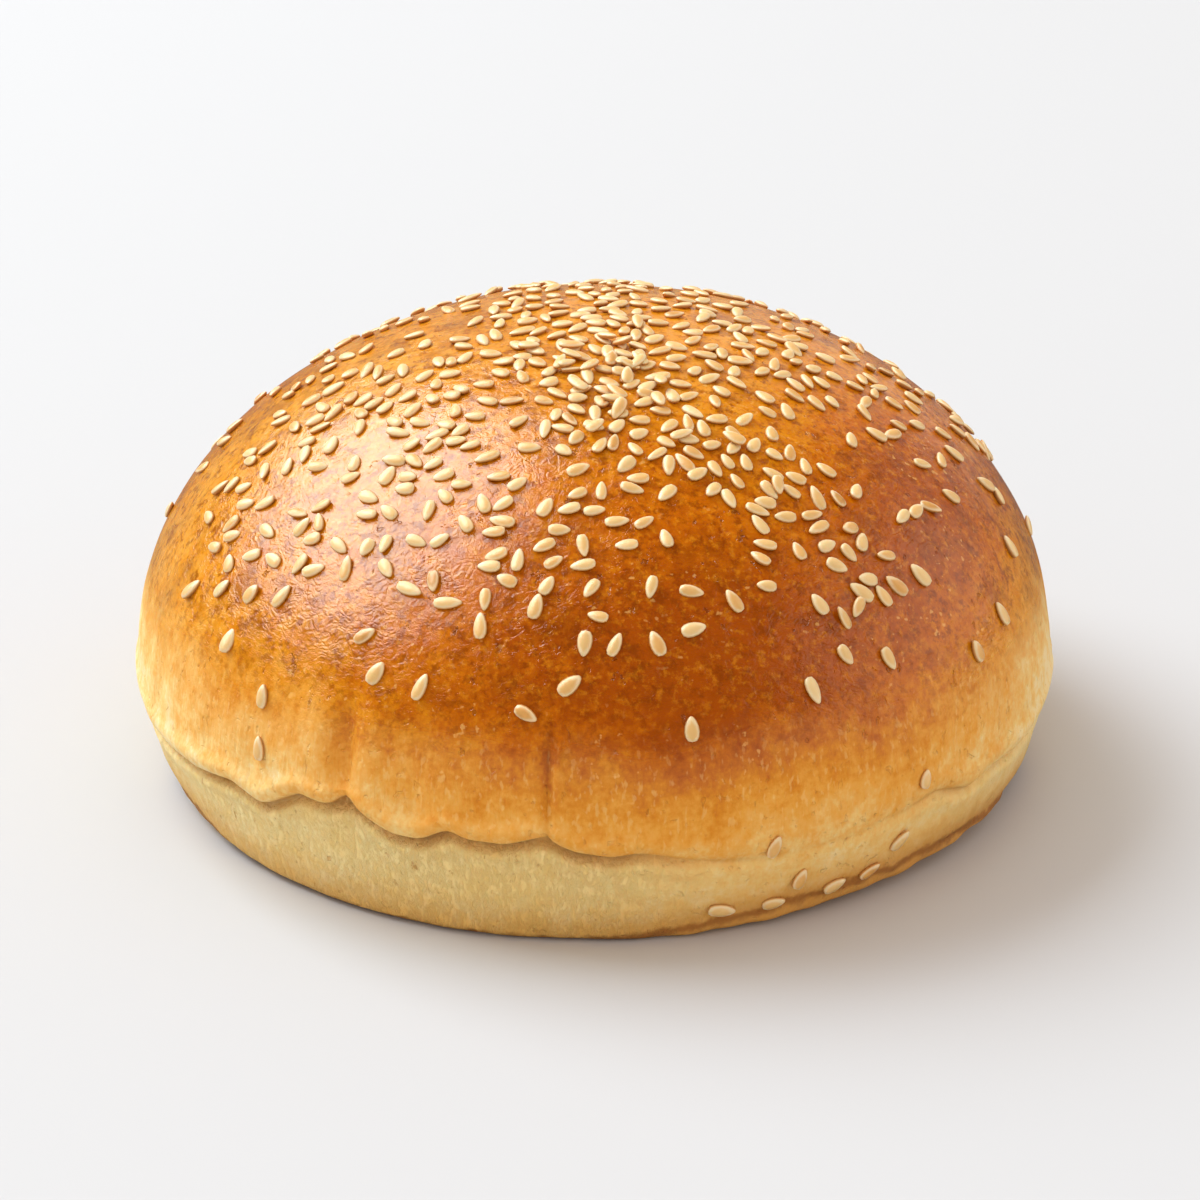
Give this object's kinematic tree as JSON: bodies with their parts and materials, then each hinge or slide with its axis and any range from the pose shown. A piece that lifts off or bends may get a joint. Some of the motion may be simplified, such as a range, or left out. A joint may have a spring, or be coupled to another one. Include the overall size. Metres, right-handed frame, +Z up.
{
  "type": "burger bun",
  "caption": "Whole uncut burger bun: a glossy domed crust with sesame seeds over a pale flank, on a flat underside.",
  "frame": {"origin": "centre of the flat underside, on the surface the bun stands on", "axes": "+Z up through the crown; -Y is the front, the side with the loose seeds along the flank"},
  "size_m": [0.1097, 0.1101, 0.0535],
  "materials": {
    "crust": "satin, glossy egg wash on the dome, matte on the flank",
    "sesame": "satin"
  },
  "bodies": {
    "root": {"bun": "crust", "sesame_seed_01": "sesame", "sesame_seed_02": "sesame", "sesame_seed_03": "sesame", "sesame_seed_04": "sesame", "sesame_seed_05": "sesame", "sesame_seed_06": "sesame", "sesame_seed_07": "sesame", "sesame_seed_08": "sesame", "sesame_seed_09": "sesame", "sesame_seed_10": "sesame", "sesame_seed_11": "sesame", "sesame_seed_12": "sesame", "sesame_seed_13": "sesame", "sesame_seed_14": "sesame", "sesame_seed_15": "sesame", "sesame_seed_16": "sesame", "sesame_seed_17": "sesame", "sesame_seed_18": "sesame", "sesame_seed_19": "sesame", "sesame_seed_20": "sesame", "sesame_seed_21": "sesame", "sesame_seed_22": "sesame", "sesame_seed_23": "sesame", "sesame_seed_24": "sesame", "sesame_seed_25": "sesame", "sesame_seed_26": "sesame", "sesame_seed_27": "sesame", "sesame_seed_28": "sesame", "sesame_seed_29": "sesame", "sesame_seed_30": "sesame", "sesame_seed_31": "sesame", "sesame_seed_32": "sesame", "sesame_seed_33": "sesame", "sesame_seed_34": "sesame", "sesame_seed_35": "sesame", "sesame_seed_36": "sesame", "sesame_seed_37": "sesame", "sesame_seed_38": "sesame", "sesame_seed_39": "sesame", "sesame_seed_40": "sesame", "sesame_seed_41": "sesame", "sesame_seed_42": "sesame", "sesame_seed_43": "sesame", "sesame_seed_44": "sesame", "sesame_seed_45": "sesame", "sesame_seed_46": "sesame", "sesame_seed_47": "sesame", "sesame_seed_48": "sesame", "sesame_seed_49": "sesame", "sesame_seed_50": "sesame", "sesame_seed_51": "sesame", "sesame_seed_52": "sesame", "sesame_seed_53": "sesame", "sesame_seed_54": "sesame", "sesame_seed_55": "sesame", "sesame_seed_56": "sesame", "sesame_seed_57": "sesame", "sesame_seed_58": "sesame", "sesame_seed_59": "sesame"}
  },
  "joints": []
}
